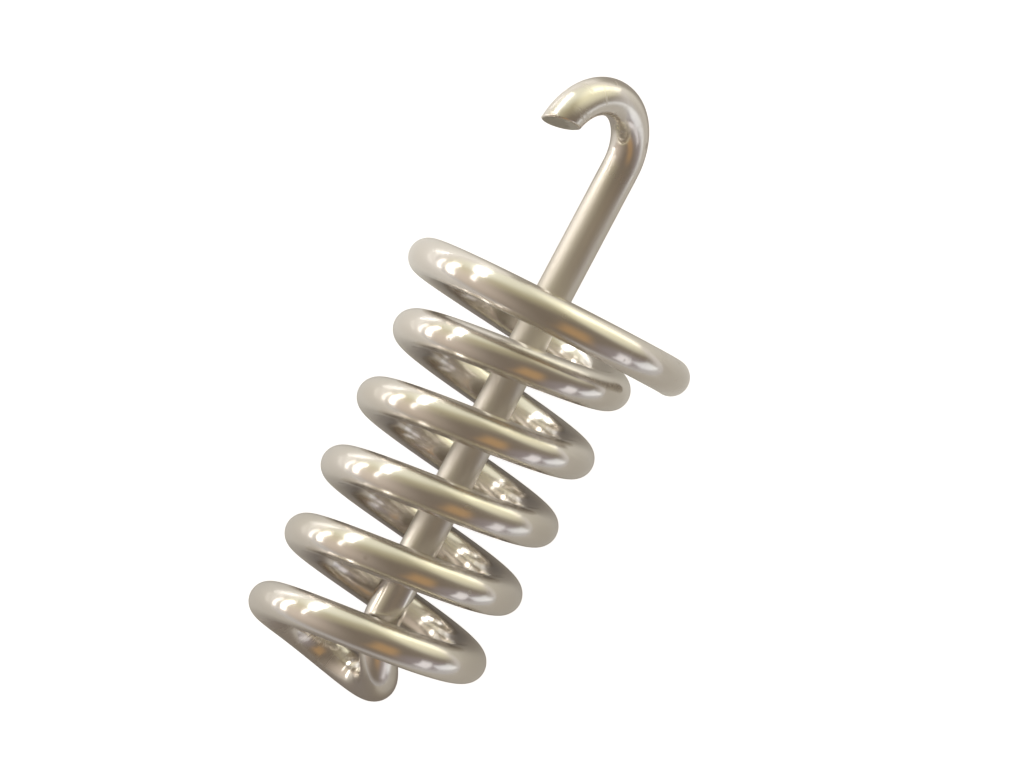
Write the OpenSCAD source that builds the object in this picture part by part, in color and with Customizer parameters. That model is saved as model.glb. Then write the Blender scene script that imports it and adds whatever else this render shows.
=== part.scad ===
// Hooked centre-stem compression spring, the spring element of a hand grip strengthener.
// One length of round spring wire: a wide end turn that sits in the grip, an open right-hand
// coil, a bend at the far end that brings the wire back to the middle, a straight stem up
// through the coil and a J hook. Pulling the hook draws the far end towards the wide turn.
// Millimetres. +Z runs along the coil towards the hook, and the origin is where the coil's
// axis meets the plane that the wide end turn bears on.

/* [Wire] */
// Diameter of the round spring wire
wire_d = 3.0; // [2.4:0.1:3.4]

/* [Wide end turn] */
// Mean diameter of the wide turn at its cut end
seat_d = 23.2; // [20:0.2:26]
// Share of a turn over which the wide turn winds in to the coil
seat_turns = 0.9; // [0.7:0.05:1]
// How far the cut end is set down from the open coil's line, which closes the turn
seat_set = 2.9; // [0:0.1:3.2]

/* [Coil] */
// Mean diameter of the coil
coil_d = 16; // [13:0.5:18]
// Rise of the coil in one turn
coil_pitch = 6; // [5:0.1:8]
// Turns from the cut end to the point where the wire leaves the coil for the bend
coil_turns = 5.61; // [3:0.01:8]

/* [Bend] */
// Straight lead along the coil's last direction, the bend's first handle
bend_lead = 9.3; // [7:0.1:11]
// Distance of the bend's outermost handle from the coil's axis
bend_reach = 7.7; // [6:0.1:8.5]
// Angle round the coil from the leaving point to that handle, in degrees
bend_turn = 117; // [105:1:130]
// How far that handle lies beyond the leaving point, away from the hook
bend_drop = 3.1; // [2:0.1:4]
// Distance of the stem's foot from the leaving point, towards the hook
bend_rise = 4.2; // [3.5:0.1:7]
// Straight lead down from the stem's foot, the bend's last handle
foot_lead = 4.4; // [3.5:0.1:6]

/* [Stem] */
// Sideways offset of the stem from the coil's axis
stem_offset = 0.5; // [0:0.1:2]
// Height above the seat plane at which the straight stem ends and the hook starts
stem_top = 11; // [4:0.5:30]

/* [Hook] */
// Radius of the hook's bend, to the middle of the wire
hook_r = 4.5; // [3.5:0.1:8]
// Angle that the hook bends through, in degrees
hook_sweep = 170; // [120:1:180]
// Angle that the hook's plane is turned round the stem, in degrees
hook_turn = 50; // [0:1:90]
// Angle of the sheared end towards the side of the hook, in degrees
shear_side = 18; // [0:1:25]
// Angle of the sheared end back towards the stem, in degrees
shear_back = 13; // [0:1:20]

/* [Smoothness] */
// Flats round the wire in its wound and bent stretches
wire_sides = 16; // [14:2:24]
// Sections in one turn of the coil
turn_steps = 24; // [16:2:36]

/* [Hidden] */
$fn = 48;
wire_r = wire_d / 2;
steel = [0.74, 0.72, 0.67];
bend_steps = 24;
// a polygon of this radius has the same area as the round wire
flat_r = wire_r * sqrt(2 * PI / (wire_sides * sin(360 / wire_sides)));
// the top of the wide turn's cut end touches the seat plane
helix_top = seat_set - wire_r;
leave_z = helix_top - coil_pitch * coil_turns;
foot_z = leave_z + bend_rise;

function unit(v) = v / norm(v);
function ease(u) = u * u * (3 - 2 * u);
// point at distance r from the axis, t turns on from the cut end, clockwise seen from the hook
function around(r, t, z) = [r * cos(360 * t), -r * sin(360 * t), z];

// --- the wound stretch, as functions of the turns t from the cut end ---
function left_over(t) = max(0, 1 - t / seat_turns);
function wound_r(t) = coil_d / 2 + (seat_d - coil_d) / 2 * ease(left_over(t));
function wound_z(t) = helix_top - coil_pitch * t - seat_set * pow(left_over(t), 2);
function wound(t) = around(wound_r(t), t, wound_z(t));
function wound_way(t) = unit(wound(t + 0.0005) - wound(t - 0.0005));
// direction across the wire, away from the axis
function wound_out(t) = let (w = wound_way(t), o = around(1, t, 0)) unit(o - (o * w) * w);

// --- the bend: one curve with five handles, from the coil to the stem's foot ---
leave_p = wound(coil_turns);
leave_way = wound_way(coil_turns);
bend_handles = [
    leave_p,
    leave_p + bend_lead * leave_way,
    around(bend_reach, coil_turns + bend_turn / 360, leave_z - bend_drop),
    [stem_offset, 0, foot_z - foot_lead],
    [stem_offset, 0, foot_z],
];
// repeated halving between handles (de Casteljau) gives the point at u, 0 to 1
function between(p, u) = [for (i = [0:len(p) - 2]) p[i] * (1 - u) + p[i + 1] * u];
function bend(u, p = bend_handles) = len(p) == 1 ? p[0] : bend(u, between(p, u));
function bend_way(u, p = bend_handles) = len(p) == 2 ? unit(p[1] - p[0]) : bend_way(u, between(p, u));

// --- one unbroken tube along a list of [middle, way, out] sections ---
function section(s) = let (side = cross(s[1], s[2])) [
    for (i = [0:wire_sides - 1])
        let (a = 360 * i / wire_sides) s[0] + flat_r * (cos(a) * s[2] + sin(a) * side)
];
module wire_tube(sections) {
    n = wire_sides;
    last = (len(sections) - 1) * n;
    skin = [
        for (j = [0:len(sections) - 2], i = [0:n - 1], half = [0, 1])
            let (a = j * n + i, b = j * n + (i + 1) % n)
                half == 0 ? [a, a + n, b + n] : [a, b + n, b]
    ];
    near_end = [for (i = [1:n - 2]) [0, i, i + 1]];
    far_end = [for (i = [1:n - 2]) [last, last + i + 1, last + i]];
    points = [for (s = sections) each section(s)];
    polyhedron(points, concat(near_end, skin, far_end), convexity = 12);
}
function wound_sections(from, to) = let (steps = ceil((to - from) * turn_steps)) [
    for (i = [0:steps])
        let (t = from + (to - from) * i / steps) [wound(t), wound_way(t), wound_out(t)]
];
// the out direction is carried along the bend without twist
function carried(out, way) = unit(out - (out * way) * way);
bend_sections = [
    for (i = 0, out = wound_out(coil_turns); i <= bend_steps;
         i = i + 1, out = carried(out, bend_way(i / bend_steps)))
        let (u = i / bend_steps, way = bend_way(u)) [bend(u), way, carried(out, way)]
];

module seat_turn() {
    color(steel) wire_tube(wound_sections(0, seat_turns));
}

module coil() {
    color(steel) wire_tube(wound_sections(seat_turns, coil_turns));
}

module bottom_bend() {
    color(steel) wire_tube(bend_sections);
}

module stem() {
    color(steel) translate([stem_offset, 0, foot_z]) cylinder(h = stem_top - foot_z, r = wire_r);
}

// the hook's own frame: local X points from the stem to the hook's centre, local Z is upright
module hook_frame() {
    translate([stem_offset, 0, stem_top]) rotate([0, 0, 180 + hook_turn]) children();
}

// everything beyond the sheared face, at the end of the bend
module shear_waste() {
    block = 4 * wire_d;
    translate([hook_r * (1 - cos(hook_sweep)), 0, hook_r * sin(hook_sweep)])
        rotate([shear_side, 0, 0])
            rotate([0, 180 - hook_sweep - shear_back, 0])
                translate([-wire_d, -block / 2, -block]) cube([block, block, block]);
}

module hook() {
    color(steel) hook_frame() difference() {
        translate([hook_r, 0, 0]) rotate([90, 0, 0]) rotate([0, 0, 180 - hook_sweep])
            rotate_extrude(angle = hook_sweep) translate([hook_r, 0]) circle(r = wire_r);
        shear_waste();
    }
}

// --- least gap of the wire to itself, measured between points further apart than four wires ---
path = concat(
    [for (s = wound_sections(0, coil_turns)) s[0]],
    [for (i = [1:bend_steps]) bend(i / bend_steps)],
    [for (z = [foot_z + 1:1:stem_top]) [stem_offset, 0, z]]
);
run = [for (i = 0, s = 0; i < len(path); s = s + (i < len(path) - 1 ? norm(path[i + 1] - path[i]) : 0), i = i + 1) s];
gaps = [
    for (i = [0:len(path) - 1], j = [i + 1:1:len(path) - 1])
        if (run[j] - run[i] > 4 * wire_d) norm(path[i] - path[j]) - wire_d
];
echo(least_gap_mm = min(gaps), wire_length_mm = run[len(run) - 1] + hook_r * hook_sweep * PI / 180);

seat_turn();
coil();
bottom_bend();
stem();
hook();
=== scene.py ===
# %% [markdown]
# # A hooked centre-stem spring, dressed and lit
# The object is one length of bright round wire: a wide end turn, an open coil, a bend that brings the wire
# back to the middle, a straight stem through the coil and a J hook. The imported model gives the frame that
# everything sits in. Here the wire gets a smooth round surface, its drawn and plated finish, and soft light.

# %% The frame
import math

import bpy
import numpy as np
from mathutils import Matrix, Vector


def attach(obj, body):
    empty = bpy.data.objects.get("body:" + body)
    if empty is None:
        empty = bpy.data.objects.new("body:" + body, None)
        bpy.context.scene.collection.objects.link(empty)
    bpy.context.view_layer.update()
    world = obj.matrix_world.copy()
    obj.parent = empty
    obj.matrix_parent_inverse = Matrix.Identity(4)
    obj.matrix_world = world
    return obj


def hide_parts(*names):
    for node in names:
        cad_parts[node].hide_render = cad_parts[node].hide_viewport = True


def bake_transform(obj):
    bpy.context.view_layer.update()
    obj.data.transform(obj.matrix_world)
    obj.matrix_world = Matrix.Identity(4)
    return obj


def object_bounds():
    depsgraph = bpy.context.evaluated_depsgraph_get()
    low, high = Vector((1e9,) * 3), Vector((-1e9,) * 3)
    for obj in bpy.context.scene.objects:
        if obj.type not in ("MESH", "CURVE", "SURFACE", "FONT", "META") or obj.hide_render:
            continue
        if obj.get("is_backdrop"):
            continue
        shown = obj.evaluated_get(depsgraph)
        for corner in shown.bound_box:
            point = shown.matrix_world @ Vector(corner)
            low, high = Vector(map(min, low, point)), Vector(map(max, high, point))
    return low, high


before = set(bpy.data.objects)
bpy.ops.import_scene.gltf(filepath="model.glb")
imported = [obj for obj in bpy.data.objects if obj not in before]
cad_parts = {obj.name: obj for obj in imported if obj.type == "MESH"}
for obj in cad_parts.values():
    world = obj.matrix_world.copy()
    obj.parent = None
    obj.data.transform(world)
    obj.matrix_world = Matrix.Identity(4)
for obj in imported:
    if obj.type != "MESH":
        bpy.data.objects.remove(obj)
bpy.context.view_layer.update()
MM = 0.001              # metres in a millimetre

# %% [markdown]
# ## The sizes of the spring
# A spring maker's drawing would give the wire, the mean diameter, the pitch and the number of turns. The same
# few numbers set every curve below. They are in millimetres, and become metres when a mesh is made.

# %% The maker's numbers
WIRE_R = 1.5            # radius of the round wire
SEAT_D = 23.2           # mean diameter of the wide turn at its cut end
SEAT_TURNS = 0.9        # share of a turn in which it winds in to the coil
SEAT_SET = 2.9          # how far its cut end is set down towards the coil
COIL_D = 16.0           # mean diameter of the coil
PITCH = 6.0             # rise of one turn
TURNS = 5.61            # turns from the cut end to where the wire leaves the coil
BEND_LEAD = 9.3         # first handle of the bend, along the coil's last direction
BEND_REACH = 7.7        # outermost handle: distance from the axis,
BEND_TURN = 117.0       # angle on from the leaving point
BEND_DROP = 3.1         # and how far beyond it
BEND_RISE = 4.2         # foot of the stem above the leaving point
FOOT_LEAD = 4.4         # last handle of the bend, under the stem's foot
STEM_X = 0.5            # sideways offset of the stem
STEM_TOP = 11.0         # where the hook starts
HOOK_R = 4.5            # bend radius of the hook
HOOK_SWEEP = math.radians(170)      # how far the hook bends round
HOOK_TURN = math.radians(50)        # how far it is turned to the front about the stem
SHEAR_SIDE = math.radians(18)       # lean of the sheared face to one side
SHEAR_BACK = math.radians(13)       # and back towards the stem

HELIX_TOP = SEAT_SET - WIRE_R       # so that the cut end's upper side lies at height 0
LEAVE_Z = HELIX_TOP - PITCH * TURNS
FOOT_Z = LEAVE_Z + BEND_RISE
print("heights, mm: wire leaves the coil", round(LEAVE_Z, 2), "foot of the stem", round(FOOT_Z, 2))

# %% [markdown]
# ## The middle line of the wire
# Every stretch is a curve of one parameter. The wound stretch is a helix whose radius and height ease towards
# the wide turn. The bend is a smooth curve with five handles, which leaves the coil in the coil's own
# direction and arrives upright under the stem. The hook is an arc. Each function takes a whole array of
# parameters.

# %% The wound stretch


def unit(v):
    """Each row of v divided by its length."""
    return v / np.linalg.norm(v, axis=-1, keepdims=True)


def around(r, t, z):
    """Points at distance r from the axis, t turns on from the cut end, clockwise seen from the hook."""
    a = 2 * np.pi * np.asarray(t, float)
    return np.stack([r * np.cos(a), -r * np.sin(a), np.broadcast_to(z, a.shape)], -1)


def wound(t):
    """Helix with an eased end: radius R + dR*s(u) and height H - p*t - S*u^2, where u = 1 - t/T0 is what
    is left of the wide turn and s(u) = u^2(3 - 2u)."""
    t = np.asarray(t, float)
    u = np.clip(1 - t / SEAT_TURNS, 0, None)
    radius = COIL_D / 2 + (SEAT_D - COIL_D) / 2 * u * u * (3 - 2 * u)
    return around(radius, t, HELIX_TOP - PITCH * t - SEAT_SET * u * u)


print("wound from", wound(0).round(2), "to", wound(TURNS).round(2))

# %% The bend
NUDGE = 1e-4            # turns between the two points that give the coil's last direction


def bend(u):
    """Bezier curve of degree 4: the sum of C(4,i) u^i (1-u)^(4-i) times handle i."""
    leave = wound(TURNS)
    way = unit(wound(TURNS + NUDGE) - wound(TURNS - NUDGE))
    handles = np.array([
        leave,
        leave + BEND_LEAD * way,
        around(BEND_REACH, TURNS + BEND_TURN / 360, LEAVE_Z - BEND_DROP),
        [STEM_X, 0, FOOT_Z - FOOT_LEAD],
        [STEM_X, 0, FOOT_Z],
    ])
    u = np.asarray(u, float)[:, None]
    weights = [math.comb(4, i) * u**i * (1 - u) ** (4 - i) for i in range(5)]
    return sum(w * h for w, h in zip(weights, handles))


print("lowest point of the bend's middle line", bend(np.linspace(0, 1, 200))[:, 2].min().round(2), "mm")

# %% The stem and the hook


def stem(u):
    """Straight line from the foot to the start of the hook."""
    u = np.asarray(u, float)
    return np.stack([np.full_like(u, STEM_X), 0 * u, FOOT_Z + (STEM_TOP - FOOT_Z) * u], -1)


HOOK_WAY = np.array([-math.cos(HOOK_TURN), -math.sin(HOOK_TURN), 0])


def hook(a):
    """Arc of angle a: R(1 - cos a) out along the hook's direction and R sin a up."""
    a = np.asarray(a, float)[:, None]
    arc = (1 - np.cos(a)) * HOOK_WAY + np.sin(a) * np.array([0, 0, 1])
    return np.array([STEM_X, 0, STEM_TOP]) + HOOK_R * arc


TIP = hook([HOOK_SWEEP])[0]
print("hook's tip", TIP.round(2))

# %% [markdown]
# ## Sections at even steps
# Reflections on polished wire show every uneven step, so the whole wire is measured first and then cut into
# sections at even distances along its length. All five pieces are slices of this one list. They share the
# sections where they meet, so the wire looks unbroken.

# %% Sections
STEP = 0.3              # distance between sections
FLATS = 64              # faces round the wire
DENSE = 6000            # points at which a curve is measured


def even(curve, low, high):
    """Parameters at equal lengths of about STEP, and the curve's length. The length run at each of many
    points is the sum of the distances before it, and is read backwards at even lengths."""
    dense = np.linspace(low, high, DENSE)
    run = np.concatenate([[0], np.cumsum(np.linalg.norm(np.diff(curve(dense), axis=0), axis=1))])
    count = max(2, round(run[-1] / STEP))
    return np.interp(np.linspace(0, run[-1], count + 1), run, dense), run[-1]


# the hook's sections run a little past its end, for the side that the sheared face leaves longer
HOOK_SPARE = math.radians(12)
STRETCHES = {
    "seat_turn": (wound, 0, SEAT_TURNS),
    "coil": (wound, SEAT_TURNS, TURNS),
    "bottom_bend": (bend, 0, 1),
    "stem": (stem, 0, 1),
    "hook": (hook, 0, HOOK_SWEEP + HOOK_SPARE),
}
middles, runs, slices, start = [], [], {}, 0.0
for name, (curve, low, high) in STRETCHES.items():
    params, length = even(curve, low, high)
    # a stretch's first section is the last one of the stretch before it
    first = 1 if middles else 0
    begin = sum(len(m) for m in middles) - first
    middles.append(curve(params)[first:])
    runs.append((start + np.linspace(0, length, len(params)))[first:])
    slices[name] = slice(begin, sum(len(m) for m in middles))
    start += length
MIDDLE = np.concatenate(middles)
RUN = np.concatenate(runs)
print("wire length", round(start, 1), "mm in", len(MIDDLE), "sections")

# %% Directions at each section


def way_along(points):
    """Unit direction of travel at each section, from its two neighbours."""
    ahead = np.vstack([points[1:], 2 * points[-1] - points[-2]])
    behind = np.vstack([2 * points[0] - points[1], points[:-1]])
    return unit(ahead - behind)


def carried(ways, out):
    """One direction across the wire, carried along it without twist: each step takes off the part that
    points along the wire."""
    outs = np.empty_like(ways)
    for i, way in enumerate(ways):
        out = out - (out @ way) * way
        out = out / np.linalg.norm(out)
        outs[i] = out
    return outs


WAY = way_along(MIDDLE)
OUT = carried(WAY, np.array([1.0, 0, 0]))
SIDE = np.cross(WAY, OUT)
print("first section looks along", WAY[0].round(3), "and the last along", WAY[-1].round(3))

# %% [markdown]
# ## A skin round the sections
# A point of the wire's surface is its section's middle plus the wire's radius times a direction round it.
# The skin also keeps, for each point, where it would lie if the wire were pulled straight. The finish is
# drawn in those straight coordinates, because drawing lines run along the wire and not across the room.

# %% Rings
ANGLE = 2 * np.pi * np.arange(FLATS) / FLATS
RING = np.cos(ANGLE), np.sin(ANGLE)


def rings(part):
    """Surface points M + R n, outward normals n and straightened places, one row per section, where
    n = cos(a) OUT + sin(a) SIDE."""
    normal = RING[0][None, :, None] * OUT[part][:, None] + RING[1][None, :, None] * SIDE[part][:, None]
    point = MIDDLE[part][:, None] + WIRE_R * normal
    across = WIRE_R * np.stack(RING, -1)[None]
    straight = np.stack(np.broadcast_arrays(RUN[part][:, None], across[..., 0], across[..., 1]), -1)
    return point, normal, straight


# %% [markdown]
# ## A cut end
# Where the wire was cut, its skin turns over a small rounded edge and goes on as a flat face. These rows have
# normals of their own, so the edge catches a thin line of light and the face stays flat.

# %% End cap
EDGE_ROWS = 5                       # rows on the quarter circle of the edge
FACE_SHARES = 0.75, 0.5, 0.25       # sizes of the rings on the flat face, as shares of its rim


def end_cap(edge, edge_normal, face_way, straight, soft):
    """Rings that close the wire at a cut: a rounded edge of radius soft, then the flat face. The edge turns
    a quarter circle from the wire's side into the face, by 1 - cos q inwards and 1 - sin q short of it."""
    centre = edge.mean(axis=0)
    inward = unit(centre - edge)
    inward = unit(inward - (inward @ face_way)[:, None] * face_way)
    points, normals = [], []
    for q in np.linspace(0, np.pi / 2, EDGE_ROWS + 1)[1:]:
        points.append(edge + soft * (1 - np.cos(q)) * inward + soft * (np.sin(q) - 1) * face_way)
        normals.append(unit(math.cos(q) * edge_normal + math.sin(q) * face_way))
    rim = points[-1]
    for share in FACE_SHARES:
        points.append(centre + (rim - centre) * share)
        normals.append(np.broadcast_to(face_way, edge.shape))
    return np.array(points), np.array(normals), np.broadcast_to(straight, (len(points), *straight.shape))


# %% [markdown]
# ## A closed mesh
# The rows of rings become quads, and a fan of triangles closes each end, so every piece is a solid of its
# own. The mesh keeps two vectors at each point: its place on the straightened wire, and the direction round
# the wire, in which the draw lines spread a reflection. The normals are the curve's own and not the faces'.

# %% Faces


def closed_faces(rows, flats):
    """Corners of the faces, their sizes and each quad's row. Quads join point i of a row to i + 1 and to the
    next row. A fan at each end joins the ring to one more point."""
    row, col = np.meshgrid(np.arange(rows - 1), np.arange(flats), indexing="ij")
    a = row * flats + col
    b = row * flats + (col + 1) % flats
    quads = np.stack([a, b, b + flats, a + flats], -1).reshape(-1, 4)
    near, far = rows * flats, rows * flats + 1
    ring = np.arange(flats)
    turn = (ring + 1) % flats
    last = (rows - 1) * flats
    fans = np.vstack([
        np.stack([np.full(flats, near), turn, ring], -1),
        np.stack([np.full(flats, far), last + ring, last + turn], -1),
    ])
    corners = np.concatenate([quads.ravel(), fans.ravel()])
    sizes = np.concatenate([np.full(len(quads), 4), np.full(len(fans), 3)])
    return corners, sizes, row.ravel()


# %% Mesh


def skin_mesh(name, points, normals, straight, cut_rings=(0, 0)):
    """A closed mesh from rows of rings. cut_rings counts the rows at each end that belong to a cut face,
    which takes the second material. A plain end looks away from the row before it."""
    rows, flats = points.shape[:2]
    ends = [0, rows - 1]
    middle = np.array([points[e].mean(axis=0) for e in ends])
    middle_normal = np.array([normals[e].mean(axis=0) for e in ends])
    if cut_rings[0] == 0:
        middle_normal[0] = points[0].mean(axis=0) - points[1].mean(axis=0)
    if cut_rings[1] == 0:
        middle_normal[1] = points[-1].mean(axis=0) - points[-2].mean(axis=0)
    verts = np.vstack([points.reshape(-1, 3), middle]) * MM
    place = np.vstack([straight.reshape(-1, 3), [straight[e].mean(axis=0) for e in ends]]) * MM
    vertex_normal = np.vstack([normals.reshape(-1, 3), unit(middle_normal)])
    corners, sizes, quad_row = closed_faces(rows, flats)
    cut = (quad_row < cut_rings[0]) | (quad_row >= rows - 1 - cut_rings[1])
    fan_cut = np.repeat([cut_rings[0] > 0, cut_rings[1] > 0], flats)

    mesh = bpy.data.meshes.new(name)
    mesh.vertices.add(len(verts))
    mesh.vertices.foreach_set("co", verts.astype(np.float32).ravel())
    mesh.loops.add(len(corners))
    mesh.loops.foreach_set("vertex_index", corners.astype(np.int32))
    mesh.polygons.add(len(sizes))
    mesh.polygons.foreach_set("loop_start", (np.cumsum(sizes) - sizes).astype(np.int32))
    mesh.polygons.foreach_set("material_index", np.concatenate([cut, fan_cut]).astype(np.int32))
    mesh.update(calc_edges=True)
    mesh.validate()
    mesh.polygons.foreach_set("use_smooth", np.ones(len(mesh.polygons), bool))
    section = np.clip(np.searchsorted(RUN, place[:, 0] / MM), 0, len(RUN) - 1)
    round_way = np.cross(WAY[section], vertex_normal)
    for label, vectors in (("wire_place", place), ("round_way", round_way)):
        kept = mesh.attributes.new(label, "FLOAT_VECTOR", "POINT")
        kept.data.foreach_set("vector", vectors.astype(np.float32).ravel())
    mesh.normals_split_custom_set_from_vertices(vertex_normal.astype(np.float32))
    return mesh


def piece(name, mesh):
    """A finished piece: an object at the origin with its place in its mesh."""
    made = bpy.data.objects.new(name, mesh)
    bpy.context.scene.collection.objects.link(made)
    print(name, len(mesh.polygons), "faces")
    return made


# %% [markdown]
# ## The wide turn
# The wide turn ends in a cut, so its first rows are an end cap: a deburred edge and a flat face. The face
# looks back along the wire. The wire's own first row steps back by the edge's rounding, so that the face
# stays where the wire ends.

# %% Wide turn
EDGE_SOFT = 0.16        # rounding of a deburred cut edge

grid, out_normals, laid = rings(slices["seat_turn"])
cap, cap_normals, cap_laid = end_cap(grid[0], out_normals[0], -WAY[0], laid[0], EDGE_SOFT)
grid[0] += EDGE_SOFT * WAY[0]
seat_turn = piece("seat_turn_wire", skin_mesh(
    "seat_turn_wire",
    np.concatenate([cap[::-1], grid]),
    np.concatenate([cap_normals[::-1], out_normals]),
    np.concatenate([cap_laid[::-1], laid]),
    cut_rings=(len(FACE_SHARES), 0),
))

# %% [markdown]
# ## The coil, bend and stem
# These are plain slices of the wire. Their ends are closed with flat fans that lie hidden against the next
# piece, so each is a solid of its own.

# %% Coil, bend and stem
coil = piece("coil_wire", skin_mesh("coil_wire", *rings(slices["coil"])))
bottom_bend = piece("bottom_bend_wire", skin_mesh("bottom_bend_wire", *rings(slices["bottom_bend"])))
stem_piece = piece("stem_wire", skin_mesh("stem_wire", *rings(slices["stem"])))

# %% [markdown]
# ## The hook and its sheared end
# The wire was cropped at a slant, so the end face isn't square to it. The face looks down, leans back towards
# the stem and is tipped to one side.

# %% Direction of the sheared face
ACROSS = np.cross(np.array([0, 0, 1.0]), HOOK_WAY)


def turned(v, axis, angle):
    """v turned about a unit axis k by an angle: v cos + (k x v) sin + k (k . v) (1 - cos)."""
    kept = axis * (axis @ v) * (1 - math.cos(angle))
    return v * math.cos(angle) + np.cross(axis, v) * math.sin(angle) + kept


face_back = turned(np.array([0, 0, -1.0]), ACROSS, math.pi - HOOK_SWEEP - SHEAR_BACK)
FACE_WAY = turned(face_back, HOOK_WAY, SHEAR_SIDE)
print("the sheared face looks along", FACE_WAY.round(3))

# %% [markdown]
# Each line along the wire is followed to the first row beyond the face's plane, and it meets the plane
# between that row and the one before, in proportion to their distances. The last rows are then spread evenly
# over what is left, so that they lean over bit by bit until they lie in the face.

# %% Hook
LEANING_ROWS = 6        # rows before the shortest side's end that lean with the last ones

grid, out_normals, laid = rings(slices["hook"])
beyond = (grid - TIP) @ FACE_WAY
half = len(grid) // 2
first_past = half + np.argmax(beyond[half:] > 0, axis=0)
columns = np.arange(FLATS)
before, after = beyond[first_past - 1, columns], beyond[first_past, columns]
meets = first_past - 1 + before / (before - after)
rows = len(grid)
tail = int(meets.min()) - LEANING_ROWS
spread = np.linspace(0, 1, rows - tail)
plain_rows = np.repeat(np.arange(tail)[:, None], FLATS, 1)
wanted = np.vstack([plain_rows, tail + spread[:, None] * (meets - tail)[None]])


def sample(rows_of, at):
    """Values between the rows of a grid: straight mixing of the two nearest rows, for each column."""
    low = np.clip(np.floor(at).astype(int), 0, len(rows_of) - 2)
    part = (at - low)[..., None]
    return rows_of[low, columns] * (1 - part) + rows_of[low + 1, columns] * part


grid, out_normals, laid = sample(grid, wanted), unit(sample(out_normals, wanted)), sample(laid, wanted)
cap, cap_normals, cap_laid = end_cap(grid[-1], out_normals[-1], FACE_WAY, laid[-1], EDGE_SOFT)
grid[-1] = sample(grid, np.full((1, FLATS), rows - 1 - EDGE_SOFT / STEP))[0]
hook_piece = piece("hook_wire", skin_mesh(
    "hook_wire",
    np.concatenate([grid, cap]),
    np.concatenate([out_normals, cap_normals]),
    np.concatenate([laid, cap_laid]),
    cut_rings=(0, len(FACE_SHARES)),
))

# %% [markdown]
# ## What moves
# The wide turn stays on its seat. The bend, stem and hook are pulled as one. For the coil a share from 0 to 1
# is worked out along its wire, but the coil keeps its wound shape and is joined to neither.

# %% Pieces that move whole
PIECES = seat_turn, coil, bottom_bend, stem_piece, hook_piece

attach(seat_turn, "seat_body")
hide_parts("seat_turn")
for made, node in ((bottom_bend, "bottom_bend"), (stem_piece, "stem"), (hook_piece, "hook")):
    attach(made, "hook_body")
    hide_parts(node)

# %% Shares along the coil's wire


def even_share(run_share):
    return 0.5 - np.sin(np.arcsin(1 - 2 * np.clip(run_share, 0, 1)) / 3)


count = len(coil.data.vertices)
wound_up = np.empty(count * 3, np.float32)
coil.data.vertices.foreach_get("co", wound_up)
straight = np.empty(count * 3, np.float32)
coil.data.attributes["wire_place"].data.foreach_get("vector", straight)
along = straight.reshape(-1, 3)[:, 0]
share = (along - along.min()) / (along.max() - along.min())
laid_out = np.zeros((count, 3), np.float32)
laid_out[:, 2] = even_share(share)
coil.data.vertices.foreach_set("co", laid_out.ravel())
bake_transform(coil)
coil.data.vertices.foreach_set("co", wound_up)
coil.data.update()
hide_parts("coil")
print("the coil closes over", round(float(along.max() - along.min()) / MM, 1), "mm of wire")

# %% [markdown]
# ## Small helpers for shader nodes
# Each finish below is a short recipe of noise and sums, so one helper makes a node with its values and links.

# %% Node helpers


def add_node(tree, kind, inputs=(), **settings):
    """One shader node. Each input takes a plain value, or another node's output to be linked to."""
    made = tree.nodes.new(kind)
    for option, value in settings.items():
        setattr(made, option, value)
    for socket, value in dict(inputs).items():
        if isinstance(value, bpy.types.NodeSocket):
            tree.links.new(value, made.inputs[socket])
        else:
            made.inputs[socket].default_value = value
    return made


def do_math(tree, operation, *values):
    """The result of one sum on numbers or outputs."""
    return add_node(tree, "ShaderNodeMath", enumerate(values), operation=operation).outputs[0]


def vector_dot(tree, a, b):
    """The dot product of two directions or places."""
    return add_node(tree, "ShaderNodeVectorMath", {0: a, 1: b}, operation="DOT_PRODUCT").outputs["Value"]


def remap(tree, value, low, high, to_low=0.0, to_high=1.0, soft=False):
    """value moved from the range low..high to to_low..to_high, and held inside it."""
    steps = {"Value": value, "From Min": low, "From Max": high, "To Min": to_low, "To Max": to_high}
    kind = "SMOOTHSTEP" if soft else "LINEAR"
    return add_node(tree, "ShaderNodeMapRange", steps, interpolation_type=kind).outputs["Result"]


def mix_colours(tree, share, under, over, blend="MIX"):
    """under and over mixed or added by share, from 0 to 1."""
    made = add_node(tree, "ShaderNodeMix", data_type="RGBA", blend_type=blend)
    for socket, value in ((made.inputs[6], under), (made.inputs[7], over), (made.inputs[0], share)):
        if isinstance(value, bpy.types.NodeSocket):
            tree.links.new(value, socket)
        elif isinstance(value, tuple):
            socket.default_value = (*value, 1)
        else:
            socket.default_value = value
    return made.outputs[2]


def noise_pattern(tree, place, scale, detail):
    """Noise from 0 to 1, with scale grains to the metre and detail layers of finer grains."""
    settings = {"Vector": place, "Scale": scale, "Detail": detail}
    return add_node(tree, "ShaderNodeTexNoise", settings).outputs["Fac"]


def stretched_noise(tree, place, along, across, detail):
    """Noise with grains about 1/along metres long and 1/across metres wide on the straightened wire."""
    grain = add_node(tree, "ShaderNodeMapping", {"Vector": place, "Scale": (along, across, across)})
    return noise_pattern(tree, grain.outputs[0], 1.0, detail)


def new_material(name):
    """A material with one shader, its node tree and that shader."""
    material = bpy.data.materials.new(name)
    material.use_nodes = True
    return material, material.node_tree, material.node_tree.nodes["Principled BSDF"]


# %% [markdown]
# ## The finish of the wire
# The wire was drawn through a die, wound cold and plated bright. Drawing leaves fine lines along it. They
# spread a reflection round the wire but keep it sharp along the wire, which is what makes the tall soft
# highlights on each turn. The plating adds a faint orange peel, the winding tools leave scuffs where they
# gripped the two ends and the bend, and handling leaves dull clouds and a few dark specks. Everything is
# drawn on the straightened wire.

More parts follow.
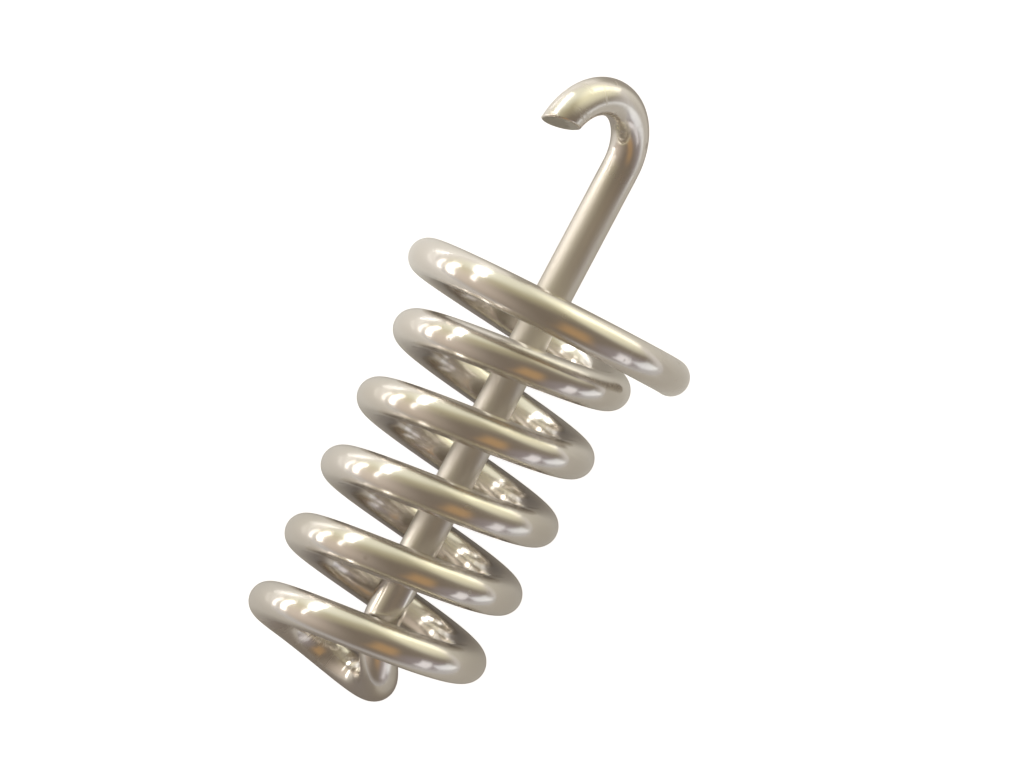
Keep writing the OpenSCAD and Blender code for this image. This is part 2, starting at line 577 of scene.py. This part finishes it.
# %% Patterns on the straightened wire
# grains to the metre along the wire and across it, and layers of finer grains
DRAW_GRAIN = 40, 5200, 3
BROAD_GRAIN = 25, 1500, 2
PEEL_GRAIN = 260, 260, 2
CLOUD_GRAIN = 90, 200, 4
SCUFF_GRAIN = 2600, 420, 3
SPECK_GRAIN = 780, 780, 1
# values of its noise between which each pattern fades in
BROAD_FROM, BROAD_TO = 0.35, 0.65
CLOUD_FROM, CLOUD_TO = 0.42, 0.72
SCUFF_FROM, SCUFF_TO = 0.56, 0.68
SPECK_FROM, SPECK_TO = 0.735, 0.79
# middle and reach of each gripped stretch along the wire, in metres, and the share of the reach gripped fully
GRIPPED = (0.0, 0.013), (0.295, 0.012), (0.366, 0.016)
FULL_GRIP = 0.4
# where the rubbed stretch of the stem fades in, and where it fades out, in metres along the wire
SATIN_FROM, SATIN_FULL, SATIN_ENDING, SATIN_TO = 0.314, 0.322, 0.347, 0.354

bright_wire, tree, shader = new_material("bright_drawn_wire")
place = add_node(tree, "ShaderNodeAttribute", attribute_name="wire_place").outputs["Vector"]
run = add_node(tree, "ShaderNodeSeparateXYZ", {"Vector": place}).outputs["X"]
round_way = add_node(tree, "ShaderNodeAttribute", attribute_name="round_way").outputs["Vector"]

draw_lines = stretched_noise(tree, place, *DRAW_GRAIN)
broad_lines = remap(tree, stretched_noise(tree, place, *BROAD_GRAIN), BROAD_FROM, BROAD_TO)
orange_peel = stretched_noise(tree, place, *PEEL_GRAIN)
dull = remap(tree, stretched_noise(tree, place, *CLOUD_GRAIN), CLOUD_FROM, CLOUD_TO)
scuffs = remap(tree, stretched_noise(tree, place, *SCUFF_GRAIN), SCUFF_FROM, SCUFF_TO)
specks = remap(tree, stretched_noise(tree, place, *SPECK_GRAIN), SPECK_FROM, SPECK_TO)

gripped = 0.0
for middle, reach in GRIPPED:
    away = do_math(tree, "ABSOLUTE", do_math(tree, "SUBTRACT", run, middle))
    grip = remap(tree, away, reach * FULL_GRIP, reach, 1.0, 0.0, soft=True)
    gripped = do_math(tree, "ADD", gripped, grip)
scuffed = do_math(tree, "MULTIPLY", scuffs, gripped)

satin = do_math(
    tree, "MULTIPLY",
    remap(tree, run, SATIN_FROM, SATIN_FULL, soft=True),
    remap(tree, run, SATIN_ENDING, SATIN_TO, 1.0, 0.0, soft=True),
)
print("wire patterns:", len(tree.nodes), "nodes")

# %% Tone, roughness and relief of the wire
PLATE_TONE = (0.77, 0.735, 0.695)
DULL_TONE = (0.71, 0.67, 0.61)
SPECK_TONE = (0.42, 0.37, 0.32)
SCUFF_SHARE = 0.35      # how far a scuff takes on the dull tone
SPECK_SHARE = 0.45      # how far a speck takes on the speck tone
LINE_ROUGH = 0.185      # spread of the reflections by the draw lines,
BROAD_ROUGH = 0.05      # how much it changes over the broad lines,
DULL_ROUGH = 0.03       # and what a dull cloud adds to it,
SATIN_ROUGH = 0.25      # the rubbed stretch of the stem, which slides in the grip,
MARK_ROUGH = 0.12       # and a scuff or speck
LINE_DEPTH = 2.0e-6     # height of the draw lines, in metres
PEEL_DEPTH = 1.5e-5     # height of the plating's slow waves
SCUFF_DEPTH = 2.0e-6    # depth of a scuff or speck
DRAWN_SPREAD = 0.9      # 0 spreads a reflection the same all ways, and 1 only round the wire

tone = mix_colours(tree, dull, PLATE_TONE, DULL_TONE)
tone = mix_colours(tree, do_math(tree, "MULTIPLY", scuffed, SCUFF_SHARE), tone, DULL_TONE)
tone = mix_colours(tree, do_math(tree, "MULTIPLY", specks, SPECK_SHARE), tone, SPECK_TONE)

roughness = do_math(tree, "MULTIPLY_ADD", broad_lines, BROAD_ROUGH, LINE_ROUGH - BROAD_ROUGH / 2)
roughness = do_math(tree, "MULTIPLY_ADD", dull, DULL_ROUGH, roughness)
roughness = do_math(tree, "MULTIPLY_ADD", satin, SATIN_ROUGH, roughness)
roughness = do_math(tree, "MULTIPLY_ADD", do_math(tree, "MAXIMUM", specks, scuffed), MARK_ROUGH, roughness)

height = do_math(tree, "MULTIPLY", draw_lines, LINE_DEPTH)
height = do_math(tree, "MULTIPLY_ADD", orange_peel, PEEL_DEPTH, height)
height = do_math(tree, "MULTIPLY_ADD", scuffed, -SCUFF_DEPTH, height)
height = do_math(tree, "MULTIPLY_ADD", specks, -SCUFF_DEPTH, height)
bump = add_node(tree, "ShaderNodeBump", {"Height": height, "Distance": 1.0, "Strength": 1.0})

shader.inputs["Metallic"].default_value = 1.0
shader.inputs["Anisotropic"].default_value = DRAWN_SPREAD
tree.links.new(tone, shader.inputs["Base Color"])
tree.links.new(roughness, shader.inputs["Roughness"])
tree.links.new(bump.outputs[0], shader.inputs["Normal"])
tree.links.new(round_way, shader.inputs["Tangent"])
print("wire finish:", len(tree.nodes), "nodes")

# %% [markdown]
# ## The rubbed stem
# The stem slides in the grip. Rubbing crosses the draw lines, so the stem spreads a reflection almost the
# same in all directions. It takes a copy of the finish in which only that differs.

# %% Rubbed finish
RUBBED_SPREAD = 0.2     # against DRAWN_SPREAD for the rest of the wire

rubbed_wire = bright_wire.copy()
rubbed_wire.name = "rubbed_drawn_wire"
rubbed_wire.node_tree.nodes["Principled BSDF"].inputs["Anisotropic"].default_value = RUBBED_SPREAD
print("stem finish:", rubbed_wire.name)

# %% [markdown]
# ## The cut ends
# A cropping tool burnishes the wire where it enters and tears the rest, so some of a cut face is smooth and
# the rest is grainy. It is bare steel without plating.

# %% Cut faces
SMOOTH_STEEL = (0.70, 0.68, 0.64)
TORN_STEEL = (0.56, 0.54, 0.50)
GRAIN_SCALE = 3400.0    # grains to the metre in the torn steel
GRAIN_DETAIL = 4.0      # layers of finer grains
PATCH_SCALE = 420.0     # torn and smooth patches to the metre
PATCH_DETAIL = 2.0      # layers of finer patches
PATCH_FROM, PATCH_TO = 0.44, 0.54       # noise values between which smooth turns to torn
SMOOTH_DEPTH, TORN_DEPTH = 3e-6, 2.4e-5     # height of the grains, in metres
SMOOTH_ROUGH, TORN_ROUGH = 0.3, 0.5

sheared_face, tree, shader = new_material("sheared_face")
spot = add_node(tree, "ShaderNodeTexCoord").outputs["Object"]
grain = noise_pattern(tree, spot, GRAIN_SCALE, GRAIN_DETAIL)
torn = noise_pattern(tree, spot, PATCH_SCALE, PATCH_DETAIL)
torn = remap(tree, torn, PATCH_FROM, PATCH_TO, soft=True)
depth = remap(tree, torn, 0, 1, SMOOTH_DEPTH, TORN_DEPTH)
relief = do_math(tree, "MULTIPLY", grain, depth)
face_bump = add_node(tree, "ShaderNodeBump", {"Height": relief, "Distance": 1.0})
shader.inputs["Metallic"].default_value = 1.0
tree.links.new(mix_colours(tree, torn, SMOOTH_STEEL, TORN_STEEL), shader.inputs["Base Color"])
tree.links.new(remap(tree, torn, 0, 1, SMOOTH_ROUGH, TORN_ROUGH), shader.inputs["Roughness"])
tree.links.new(face_bump.outputs[0], shader.inputs["Normal"])
for made in PIECES:
    made.data.materials.append(rubbed_wire if made is stem_piece else bright_wire)
    made.data.materials.append(sheared_face)
print("cut faces:", len(tree.nodes), "nodes")

# %% [markdown]
# ## Camera
# A long lens from far away, square on to the coil's axis, rolled so that the hook points up and to the right.
# RIGHT, UP and NEAR are the picture's own directions, and NEAR points to the camera. The lamps are placed by
# them.

# %% Camera
PITCH_PIXELS = 76.982   # pixels that one pitch of the coil spans
PIXEL = PITCH / PITCH_PIXELS    # millimetres to a pixel in the plane of the axis
ROLL = math.radians(27.95)      # turn of the camera about its line of sight
DISTANCE = 779.4        # from the axis to the camera
LOOK_X, LOOK_Z = 0.906, -7.758      # the place in the middle of the picture
SENSOR = 36.0           # the lens is worked out for a sensor of this width
IMAGE_WIDTH = 1024
CLIP_NEAR, CLIP_FAR = 0.01, 10      # metres
RIGHT = np.array([math.cos(ROLL), 0, math.sin(ROLL)])
UP = np.array([-math.sin(ROLL), 0, math.cos(ROLL)])
NEAR = np.array([0, -1.0, 0])


def placed(x_way, y_way, z_way, at):
    """The matrix that puts an object at a place with its three axes along the three given directions."""
    place = np.eye(4)
    place[:3] = np.stack([x_way, y_way, z_way, at], -1)
    return Matrix(place.tolist())


camera_data = bpy.data.cameras.new("camera")
camera_data.sensor_width = SENSOR
camera_data.lens = SENSOR * DISTANCE / (IMAGE_WIDTH * PIXEL)
camera_data.clip_start, camera_data.clip_end = CLIP_NEAR, CLIP_FAR
camera = bpy.data.objects.new("camera", camera_data)
camera.matrix_world = placed(RIGHT, UP, NEAR, np.array([LOOK_X, -DISTANCE, LOOK_Z]) * MM)
bpy.context.scene.collection.objects.link(camera)
bpy.context.scene.camera = camera
print("lens", round(camera_data.lens), "mm")

# %% [markdown]
# ## The white board
# The spring lies on a round white board, with the camera straight above it. The model's upright direction
# runs along the spring, so here the board stands just behind it. It lets everything through from behind, so
# that the spring can be looked at from there as well.

# %% Board
BOARD_Y = 9.85          # just clear of the spring's rearmost point
BOARD_R = 62.0
BOARD_SIDES = 96

turn = np.linspace(0, 2 * np.pi, BOARD_SIDES + 1)[:-1]
edge_x, edge_z = BOARD_R * np.cos(turn), LOOK_Z + BOARD_R * np.sin(turn)
edge = np.stack([edge_x, np.full_like(turn, BOARD_Y), edge_z], -1) * MM
board_mesh = bpy.data.meshes.new("white_board")
board_mesh.from_pydata(edge.tolist(), [], [list(range(len(edge)))])
board = bpy.data.objects.new("white_board", board_mesh)
bpy.context.scene.collection.objects.link(board)
board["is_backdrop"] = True
print("board faces", tuple(round(v, 2) for v in board_mesh.polygons[0].normal))

# %% [markdown]
# ## The board's finish
# The board is slightly glossy, so the windows show in it faintly and then again in the wire. To the eye it is
# as white as the world behind it. The metal sees it as it is lit, with the spring's soft shadow, and with
# painted
# light on top: an emission that only the metal sees, brighter towards the windows, and painted shade close
# under the spring, where that emission is cut back and the board's colour is darker.

# %% Board finish
BOARD_WHITE = (0.64, 0.64, 0.64)
BOARD_PAINTED_SHADE = (0.48, 0.46, 0.47)        # painted shade: the board's colour close under the spring
SHADE_FULL, SHADE_END = 0.003, 0.012    # metres from the axis between which the painted shade turns to white
SEEN_LIFT = 0.9                         # added for the eye
WINDOW_LEAN = 0.45                      # the windows' side is up in the picture and this much to the left
DIM_AT, BRIGHT_AT = -0.034, 0.060       # metres that way between which the painted light for the metal brightens
DIM_LIFT, BRIGHT_LIFT = 0.17, 0.72      # painted light: the emission added for the metal at these places
UNDER_FULL, UNDER_END = 0.006, 0.015    # metres from the axis between which painted shade takes away less and less of that,
UNDER_SHARE = 0.2                       # and the share that is left close to the axis
MATT_AT, GLOSS_AT = -0.025, 0.0         # metres towards the windows between which matt turns to glossy
MATT_ROUGH, GLOSS_ROUGH = 0.35, 0.05    # and the roughness at these places

board_white, tree, shader = new_material("white_board")
spot = add_node(tree, "ShaderNodeTexCoord").outputs["Object"]
rise = vector_dot(tree, spot, tuple(unit(UP - WINDOW_LEAN * RIGHT)))
off_axis = do_math(tree, "ABSOLUTE", add_node(tree, "ShaderNodeSeparateXYZ", {"Vector": spot}).outputs["X"])
unshaded_colour_share = remap(tree, off_axis, SHADE_FULL, SHADE_END, soft=True)
# painted shade: the board's colour is darker close under the spring
tree.links.new(mix_colours(tree, unshaded_colour_share, BOARD_PAINTED_SHADE, BOARD_WHITE), shader.inputs["Base Color"])
gloss = remap(tree, rise, MATT_AT, GLOSS_AT, MATT_ROUGH, GLOSS_ROUGH)
tree.links.new(gloss, shader.inputs["Roughness"])

seen_by = add_node(tree, "ShaderNodeLightPath").outputs
by_metal = do_math(tree, "ADD", seen_by["Is Glossy Ray"], seen_by["Is Transmission Ray"])
# painted light: an emission seen only by the metal, brighter towards the windows and cut back by painted
# shade close under the spring
painted_window_light = remap(tree, rise, DIM_AT, BRIGHT_AT, DIM_LIFT, BRIGHT_LIFT, soft=True)
painted_metal_lift = do_math(tree, "MULTIPLY", by_metal, painted_window_light)
unshaded_lift_share = remap(tree, off_axis, UNDER_FULL, UNDER_END, UNDER_SHARE, 1.0, soft=True)
painted_metal_lift = do_math(tree, "MULTIPLY", painted_metal_lift, unshaded_lift_share)
lift = do_math(tree, "MULTIPLY_ADD", seen_by["Is Camera Ray"], SEEN_LIFT, painted_metal_lift)
glow = add_node(tree, "ShaderNodeEmission", {"Strength": lift}).outputs[0]
lit = add_node(tree, "ShaderNodeAddShader", {0: shader.outputs[0], 1: glow}).outputs[0]

clear = add_node(tree, "ShaderNodeBsdfTransparent").outputs[0]
from_behind = add_node(tree, "ShaderNodeNewGeometry").outputs["Backfacing"]
one_sided = add_node(tree, "ShaderNodeMixShader", {0: from_behind, 1: lit, 2: clear})
tree.links.new(one_sided.outputs[0], tree.nodes["Material Output"].inputs["Surface"])
board_mesh.materials.append(board_white)
print("board finish:", len(tree.nodes), "nodes")

# %% [markdown]
# ## Windows and other lamps
# Three tall windows on the left make the white strokes on each turn, and one of them is seen again by way of
# the table top. A broad window on the right makes the pale band, and two pale things low on the right make
# the two cool spots under it. All are soft rectangles a good way off. Their strength is written as what they
# look like, where 1 is white paper.

# %% Lamps
LAMP_FAR = 1.2          # metres from the spring to every lamp
WARM = (1, 0.97, 0.93)
TABLE_WARM = (1, 0.95, 0.92)
YELLOWISH = (1, 0.98, 0.78)
COOL = (0.97, 0.98, 1)
COOLER = (0.9, 0.97, 1)


def in_picture(shares):
    """A unit direction from shares of the picture's right, up and towards the camera."""
    return unit(np.array(shares, float) @ np.array([RIGHT, UP, NEAR]))


def lamp_axes(toward, long_way):
    """Three unit directions, square to each other: x nearest to long_way, y across it, z along toward."""
    z = in_picture(toward)
    x = in_picture(long_way)
    x = unit(x - (x @ z) * z)
    return x, np.cross(z, x), z


def soft_lamp(name, toward, long_way, length, width, looks, tint=(1, 1, 1)):
    """A rectangle that faces the spring from the direction toward, its long side along long_way. Sizes are
    shares of its distance. A lamp of area A looks as bright as its energy over pi A."""
    x, y, z = lamp_axes(toward, long_way)
    data = bpy.data.lights.new(name, "AREA")
    data.shape = "RECTANGLE"
    data.size = length * LAMP_FAR
    data.size_y = width * LAMP_FAR
    data.energy = looks * math.pi * data.size * data.size_y
    data.color = tint
    lamp = bpy.data.objects.new(name, data)
    lamp.matrix_world = placed(x, y, z, z * LAMP_FAR)
    bpy.context.scene.collection.objects.link(lamp)
    print(name, round(data.energy, 2), "W")


# name, direction, direction of the long side, length, width, looks, tint
soft_lamp("window_left", (-0.41, 0.87, 0.27), (0.64, 0.48, -0.60), 0.76, 0.15, 7.0)
soft_lamp("window_left_sill", (-0.85, 0.28, 0.44), (0.40, 0.91, 0.15), 0.50, 0.07, 2.3, WARM)
soft_lamp("window_far_left", (-0.95, 0.32, 0.03), (0.32, 0.92, 0.21), 0.88, 0.12, 4.0, WARM)
soft_lamp("far_left_in_table", (-0.935, 0.29, -0.20), (0.24, 0.94, 0.24), 0.68, 0.09, 1.4, TABLE_WARM)
soft_lamp("window_right", (0.77, 0.61, 0.02), (-0.33, 0.61, 0.72), 0.80, 0.31, 0.93, YELLOWISH)
soft_lamp("low_1", (0.48, -0.86, 0.18), (0.68, 0.49, 0.55), 0.66, 0.20, 0.67, COOL)
soft_lamp("low_2", (0.78, -0.62, -0.03), (0.59, 0.76, -0.27), 0.58, 0.26, 0.70, COOLER)

# %% [markdown]
# ## The room
# The rest of the room is a dim warm grey. It rises to a yellowish white at the far side, which is up in the
# picture, and glows softly towards the windows. Behind the camera it stays dark, but for one warm streak that
# shows as an amber patch on each turn. Looked at directly the room is white.

# %% Room helpers
world = bpy.data.worlds.new("studio")
bpy.context.scene.world = world
world.use_nodes = True
tree = world.node_tree
direction = add_node(tree, "ShaderNodeTexCoord").outputs["Generated"]
STREAK_SIDE = 0.3       # a streak is only on its own side of the room, in full from this cosine
STREAK_FULL = 0.3       # share of a streak's size over which it is at its brightest


def facing(toward, low, high, power=1.0, soft=True):
    """How far a direction faces toward: 0 below the cosine low, 1 above the cosine high, raised to power."""
    cosine = vector_dot(tree, direction, tuple(in_picture(toward)))
    share = remap(tree, cosine, low, high, soft=soft)
    return share if power == 1 else do_math(tree, "POWER", share, power)


def streak(toward, long_way, reach, width):
    """A soft-edged streak: 1 at its middle, 0 at the sine reach along it and at the sine width across it."""
    x, y, _ = lamp_axes(toward, long_way)
    share = facing(toward, 0.0, STREAK_SIDE)
    for side, limit in ((x, reach), (y, width)):
        off = do_math(tree, "ABSOLUTE", vector_dot(tree, direction, tuple(side)))
        fade = remap(tree, off, limit * STREAK_FULL, limit, 1.0, 0.0, soft=True)
        share = do_math(tree, "MULTIPLY", share, fade)
    return share


# %% Room
FAR_SIDE = (0, 1, 0)
AWAY = (0, 0, -1)       # from the camera
WHITE = (1.0, 1.0, 1.0)
ROOM_TONE = (0.23, 0.19, 0.15)
NEAR_BACKDROP = (0.55, 0.53, 0.52)      # what lies behind the board, at the bottom of the picture
FAR_BACKDROP = (0.95, 0.90, 0.82)       # and at its top
# where each glow is, and the colour that it adds
GLOWS = (
    (facing(FAR_SIDE, 0.05, 0.9, soft=False), (0.46, 0.45, 0.26)),                  # the far side
    (facing(FAR_SIDE, 0.55, 1.0), (0.38, 0.42, 0.46)),                              # cooler at its middle
    (facing((-0.98, 0, 0.15), 0.3, 1.0, 2.5, soft=False), (0.53, 0.47, 0.41)),      # round the left windows
    (facing((0.82, 0.53, 0.20), 0.70, 0.95), (0.60, 0.60, 0.46)),                   # round the right window
    (facing((0.55, -0.82, 0.05), 0.75, 0.98), (0.10, 0.10, 0.14)),                  # round the low lamps
    (streak((0.08, -0.70, 0.71), (0.48, 0.60, 0.64), 0.62, 0.30), (0.26, 0.13, 0.015)),     # amber streak
)

room = ROOM_TONE
for share, glow_tone in GLOWS:
    room = mix_colours(tree, share, room, glow_tone, "ADD")
backdrop = mix_colours(tree, facing(FAR_SIDE, -0.9, 0.9), NEAR_BACKDROP, FAR_BACKDROP)
room = mix_colours(tree, facing(AWAY, -0.02, 0.25), room, backdrop)
looked_at = add_node(tree, "ShaderNodeLightPath").outputs["Is Camera Ray"]
room = mix_colours(tree, looked_at, room, WHITE)
tree.links.new(room, tree.nodes["Background"].inputs["Color"])
bpy.context.scene.view_settings.view_transform = "Standard"
print("room:", len(tree.nodes), "nodes")

low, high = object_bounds()
print("size mm", [round((h - l) * 1000, 2) for l, h in zip(low, high)])
